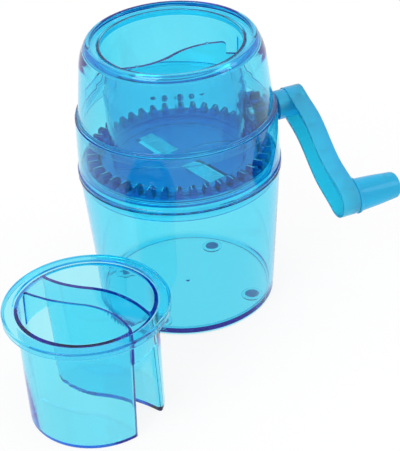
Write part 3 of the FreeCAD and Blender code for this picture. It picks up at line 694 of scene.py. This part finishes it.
pusher = turned_piece("pusher_body", pusher_section)
channel = tapered_block("channel", strip_line(foot_channel, foot_reach, 60, -0.5),
                        strip_line(band_channel, mouth_reach, 60, above_pusher))
combine(channel, turned_piece("channel_reach", channel_section), "INTERSECT")
combine(pusher, channel, "DIFFERENCE")
for turn in (0, math.pi):
    foot_line = pocket_line(foot_channel, pusher_wall, foot_reach - pusher_wall, pusher_floor)
    mouth_line = pocket_line(band_channel, pusher_wall, mouth_reach - pusher_wall, above_pusher)
    cavity = tapered_block("cavity", foot_line, mouth_line)
    cavity.rotation_euler.z = turn
    bpy.ops.object.transform_apply(location=True, rotation=True, scale=True)
    combine(pusher, cavity, "DIFFERENCE")
soften_edges(pusher, 0.4)
pusher.rotation_euler.z = math.radians(pusher_turn)
pusher.location = Vector((*pusher_place, 0)) * mm
bpy.ops.object.transform_apply(location=True, rotation=True, scale=True)
bpy.ops.object.shade_smooth_by_angle(angle=soft_angle)
dress(pusher, clear_blue, "clear_blue", "pusher", "pusher")


# Crank arm, a moulded channel open towards the shaver, with a hub on the shaft, a post for the
# knob, three small ribs under its upper edge and a gentle sway along both edges.
arm_start, arm_end = 78.0, 90.0
arm_web = 3.4
arm_wall = 2.0
arm_length = 81.0
arm_dip = math.radians(27.2)
root_radius, tip_radius = 10.6, 11.4
sway = 2.4
hub_start = 69.8
hub_radius = 9.8
shaft_radius = 4.0
screw_way_radius = 1.95
screw_recess_radius = 4.6
post_radius = 4.0
post_end = 114.3
rib_shares = (0.34, 0.57, 0.79)
rib_wall = 1.6
arm_knots = (0.0, 0.30, 0.68, 1.0)


def arm_edge(side, share):
    """How far the arm's upper or lower edge is from its middle line, at a share of its length."""
    middle = side * (root_radius + tip_radius) / 2
    values = (side * root_radius, middle + sway, middle - sway, side * tip_radius)
    slopes = (0, (values[2] - values[0]) / arm_knots[2],
              (values[3] - values[1]) / (1 - arm_knots[1]), 0)
    i = max(k for k in range(3) if arm_knots[k] <= share)
    span = arm_knots[i + 1] - arm_knots[i]
    t = (share - arm_knots[i]) / span
    return ((2 * t ** 3 - 3 * t ** 2 + 1) * values[i] + (t ** 3 - 2 * t ** 2 + t) * span * slopes[i]
            + (3 * t ** 2 - 2 * t ** 3) * values[i + 1] + (t ** 3 - t ** 2) * span * slopes[i + 1])


def on_arm(x, along, across):
    """A place on the level arm: how far out on the shaft, along the arm and across it."""
    return Vector((x, -along, across)) * mm


edge_steps = 16
end_steps = 14
outline = [on_arm(arm_start, arm_length * i / edge_steps, arm_edge(1, i / edge_steps))
           for i in range(edge_steps + 1)]
end_turns = [math.pi * i / end_steps for i in range(1, end_steps)]
outline += [on_arm(arm_start, arm_length + tip_radius * math.sin(a), tip_radius * math.cos(a))
            for a in end_turns]
outline += [on_arm(arm_start, arm_length * i / edge_steps, arm_edge(-1, i / edge_steps))
            for i in range(edge_steps, -1, -1)]
outline += [on_arm(arm_start, -root_radius * math.sin(a), -root_radius * math.cos(a))
            for a in end_turns]
arm = first_point("arm_channel", outline[0])
draw_line(outline, True)
bpy.ops.mesh.edge_face_add()
bpy.ops.mesh.extrude_region_move(
    TRANSFORM_OT_translate={"value": ((arm_end - arm_start) * mm, 0, 0)})
bpy.ops.mesh.select_all(action="SELECT")
bpy.ops.mesh.normals_make_consistent(inside=False)
select_faces_where(arm, lambda middle, normal: normal.x < -0.9)
bpy.ops.mesh.inset(thickness=arm_wall * mm, use_even_offset=True)
bpy.ops.mesh.extrude_region_move(
    TRANSFORM_OT_translate={"value": ((arm_end - arm_start - arm_web) * mm, 0, 0)})
close_shape()
web_x = arm_end - arm_web
for share in rib_shares:
    top = arm_edge(1, share) - arm_wall / 2
    rib_line = [on_arm(x, arm_length * share, across)
                for x, across in ((arm_start + 1, top), (web_x + 0.5, 0), (web_x + 0.5, top))]
    rib = first_point("rib", rib_line[0])
    draw_line(rib_line, True)
    bpy.ops.mesh.edge_face_add()
    bpy.ops.mesh.extrude_region_move(TRANSFORM_OT_translate={"value": (0, -rib_wall * mm, 0)})
    close_shape()
    combine(arm, rib, "UNION")
hub = round_bar("hub", hub_radius, (hub_start, 0, 0), (web_x + 1, 0, 0), 0.6, 64)
combine(arm, hub, "UNION")
hub_bore = round_bar("hub_bore", shaft_radius, (hub_start - 1, 0, 0), (arm_end - 6, 0, 0))
combine(arm, hub_bore, "DIFFERENCE")
screw_way = round_bar("screw_way", screw_way_radius, (60, 0, 0), (100, 0, 0), 0, 24)
combine(arm, screw_way, "DIFFERENCE")
screw_recess = round_bar("screw_recess", screw_recess_radius, (arm_end - 3, 0, 0),
                         (arm_end + 2, 0, 0))
combine(arm, screw_recess, "DIFFERENCE")
post = round_bar("post", post_radius, (arm_end - 2, -arm_length, 0),
                 (post_end, -arm_length, 0), 0.4)
combine(arm, post, "UNION")
soften_edges(arm, 0.5)
arm.rotation_euler.x = arm_dip
arm.location.z = crank_z * mm
bpy.ops.object.transform_apply(location=True, rotation=True, scale=True)
bpy.ops.object.shade_smooth_by_angle(angle=soft_angle)
arm_blue = plastic("arm_blue_plastic", (0.07, 0.78, 1.0), 0.65, (0.05, 0.93, 0.99), 500.0,
                   0.15, 0.25, 0.02 * mm)
dress(arm, arm_blue, "crank_blue", "crank", "crank_arm")


# Knob, moulded in the same blue as the arm but thicker, with a thin flange and a smooth taper to
# a rounded end. It turns on the arm's post, held by a washer and a screw under its cap.
knob_centre = Vector((0, -72.043, 84.975)) * mm
knob_section = [
    (4.06, 90.3, 0), (11.9, 90.3, 0.6), (11.9, 92.2, 0.5), (11.0, 92.5, 0.4), (10.1, 106.0, 0),
    (8.5, 121.9, 2.8), (5.65, 121.9, 0.3), (5.65, 114.7, 0), (4.06, 114.7, 0),
]
knob = turned_piece("knob_grip", knob_section, knob_centre, Vector((1, 0, 0)))
knob_blue = plastic("knob_blue_plastic", (0.02, 0.6, 0.92), 0.5, (0.2, 0.86, 0.97), 120.0,
                    0.12, 0.22, 0.03 * mm)
dress(knob, knob_blue, "crank_blue", "grip", "knob")


# Small fittings keep their own solids and only get a finish: steel for the shaft, blades,
# screws and washers, deep blue plastic for the pinion and the bush.
def ground_steel():
    """Bright steel with fine grinding marks along one way."""
    finish = bpy.data.materials.new("ground_steel")
    finish.use_nodes = True
    nodes, links = finish.node_tree.nodes, finish.node_tree.links
    skin = nodes["Principled BSDF"]
    skin.inputs["Base Color"].default_value = (0.78, 0.8, 0.82, 1)
    skin.inputs["Metallic"].default_value = 1.0
    place = nodes.new("ShaderNodeTexCoord")
    stretch = nodes.new("ShaderNodeMapping")
    stretch.inputs["Scale"].default_value = (60, 1400, 600)
    marks = nodes.new("ShaderNodeTexNoise")
    marks.inputs["Scale"].default_value = 1.0
    marks.inputs["Detail"].default_value = 3.0
    spread = nodes.new("ShaderNodeMapRange")
    spread.inputs["To Min"].default_value = 0.16
    spread.inputs["To Max"].default_value = 0.34
    relief = nodes.new("ShaderNodeBump")
    relief.inputs["Strength"].default_value = 0.3
    relief.inputs["Distance"].default_value = 0.01 * mm
    links.new(place.outputs["Object"], stretch.inputs["Vector"])
    links.new(stretch.outputs["Vector"], marks.inputs["Vector"])
    links.new(marks.outputs["Fac"], spread.inputs["Value"])
    links.new(spread.outputs["Result"], skin.inputs["Roughness"])
    links.new(marks.outputs["Fac"], relief.inputs["Height"])
    links.new(relief.outputs["Normal"], skin.inputs["Normal"])
    return finish


steel = ground_steel()
deep_blue = plastic("deep_blue_plastic", (0.0, 0.35, 0.8), 0.85, (0.0, 0.8, 0.96), 400.0,
                    0.2, 0.3, 0.02 * mm)
finishes = {
    "crank_bush": deep_blue, "pinion": deep_blue, "knob_cap": knob_blue,
    "crank_shaft": steel, "crank_screw": steel, "pinion_washer": steel, "pinion_screw": steel,
    "knob_washer": steel, "knob_screw": steel, "blade_1": steel, "blade_2": steel,
    "blade_screws": steel,
}
for name, finish in finishes.items():
    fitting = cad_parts[name]
    fitting.data.materials.clear()
    fitting.data.materials.append(finish)


# Picture settings: plain colours, and enough bounces of light for many clear walls in a row.
clear_wall_bounces = 48
scene = bpy.context.scene
scene.view_settings.view_transform = "Standard"
scene.cycles.max_bounces = clear_wall_bounces
scene.cycles.transmission_bounces = clear_wall_bounces
scene.cycles.glossy_bounces = clear_wall_bounces
